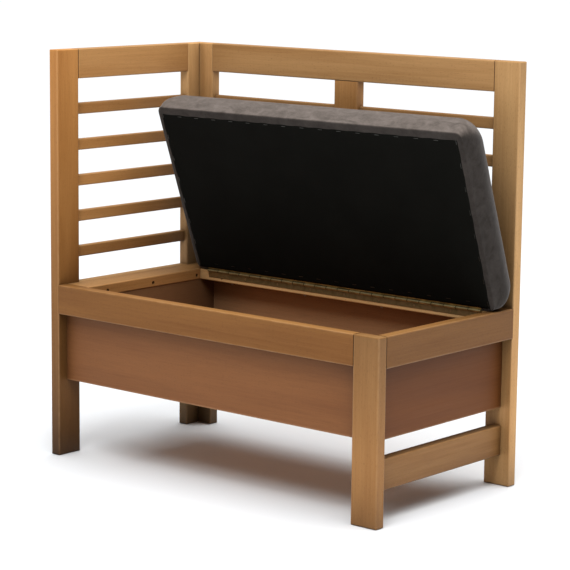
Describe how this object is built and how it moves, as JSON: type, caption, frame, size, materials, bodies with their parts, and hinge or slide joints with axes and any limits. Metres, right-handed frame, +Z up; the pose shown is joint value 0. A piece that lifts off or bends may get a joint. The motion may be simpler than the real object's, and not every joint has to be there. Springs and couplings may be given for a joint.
{
  "type": "corner storage bench",
  "caption": "Beech corner bench with a slatted side panel and slatted back, a storage box under the seat and a padded lid on a piano hinge, shown open.",
  "frame": {"origin": "middle of the footprint, on the floor", "axes": "+X along the bench's length, to the right as seen from the front, +Y towards the back frame, +Z up"},
  "size_m": [0.92, 0.48, 0.9],
  "materials": {
    "beech": "satin lacquered solid beech",
    "veneered_ply": "satin lacquered beech veneer on plywood",
    "antique_brass": "dull antique brass",
    "zinc_steel": "zinc plated steel",
    "seat_fabric": "taupe grey brushed microfibre",
    "black_cloth": "black non-woven cloth",
    "foam": "open-cell upholstery foam"
  },
  "bodies": {
    "frame": {"left_panel_front_post": "beech", "left_panel_rear_post": "beech", "left_panel_top_rail": "beech", "left_panel_seat_rail": "beech", "left_slat_1": "beech", "left_slat_2": "beech", "left_slat_3": "beech", "left_slat_4": "beech", "left_slat_5": "beech", "back_left_post": "beech", "back_right_post": "beech", "back_top_rail": "beech", "back_seat_rail": "beech", "back_centre_stile": "beech", "back_left_slat_1": "beech", "back_left_slat_2": "beech", "back_left_slat_3": "beech", "back_left_slat_4": "beech", "back_left_slat_5": "beech", "back_right_slat_1": "beech", "back_right_slat_2": "beech", "back_right_slat_3": "beech", "back_right_slat_4": "beech", "back_right_slat_5": "beech", "front_right_leg": "beech", "seat_front_rail": "beech", "seat_right_rail": "beech", "seat_left_rail": "beech", "seat_rear_rail": "beech", "right_stretcher": "beech", "frame_dowels": "beech", "rail_screws": "zinc_steel", "box_front_panel": "veneered_ply", "box_right_panel": "veneered_ply", "box_left_panel": "veneered_ply", "box_rear_panel": "veneered_ply", "box_bottom_panel": "veneered_ply", "box_dowels": "beech", "box_screws": "zinc_steel", "hinge_frame_leaf": "antique_brass", "hinge_pin": "antique_brass", "hinge_frame_screws": "antique_brass"},
    "lid": {"hinge_lid_leaf": "antique_brass", "hinge_lid_screws": "antique_brass", "lid_board": "veneered_ply", "lid_foam": "foam", "lid_cover": "seat_fabric", "lid_dust_cover": "black_cloth", "lid_staples": "zinc_steel"}
  },
  "joints": [
    {"name": "lid_hinge", "type": "hinge", "parent": "frame", "child": "lid", "pos_m": [0, 0.1467, 0.3843], "axis": [-1, 0, 0], "range_deg": [-70, 0]}
  ]
}
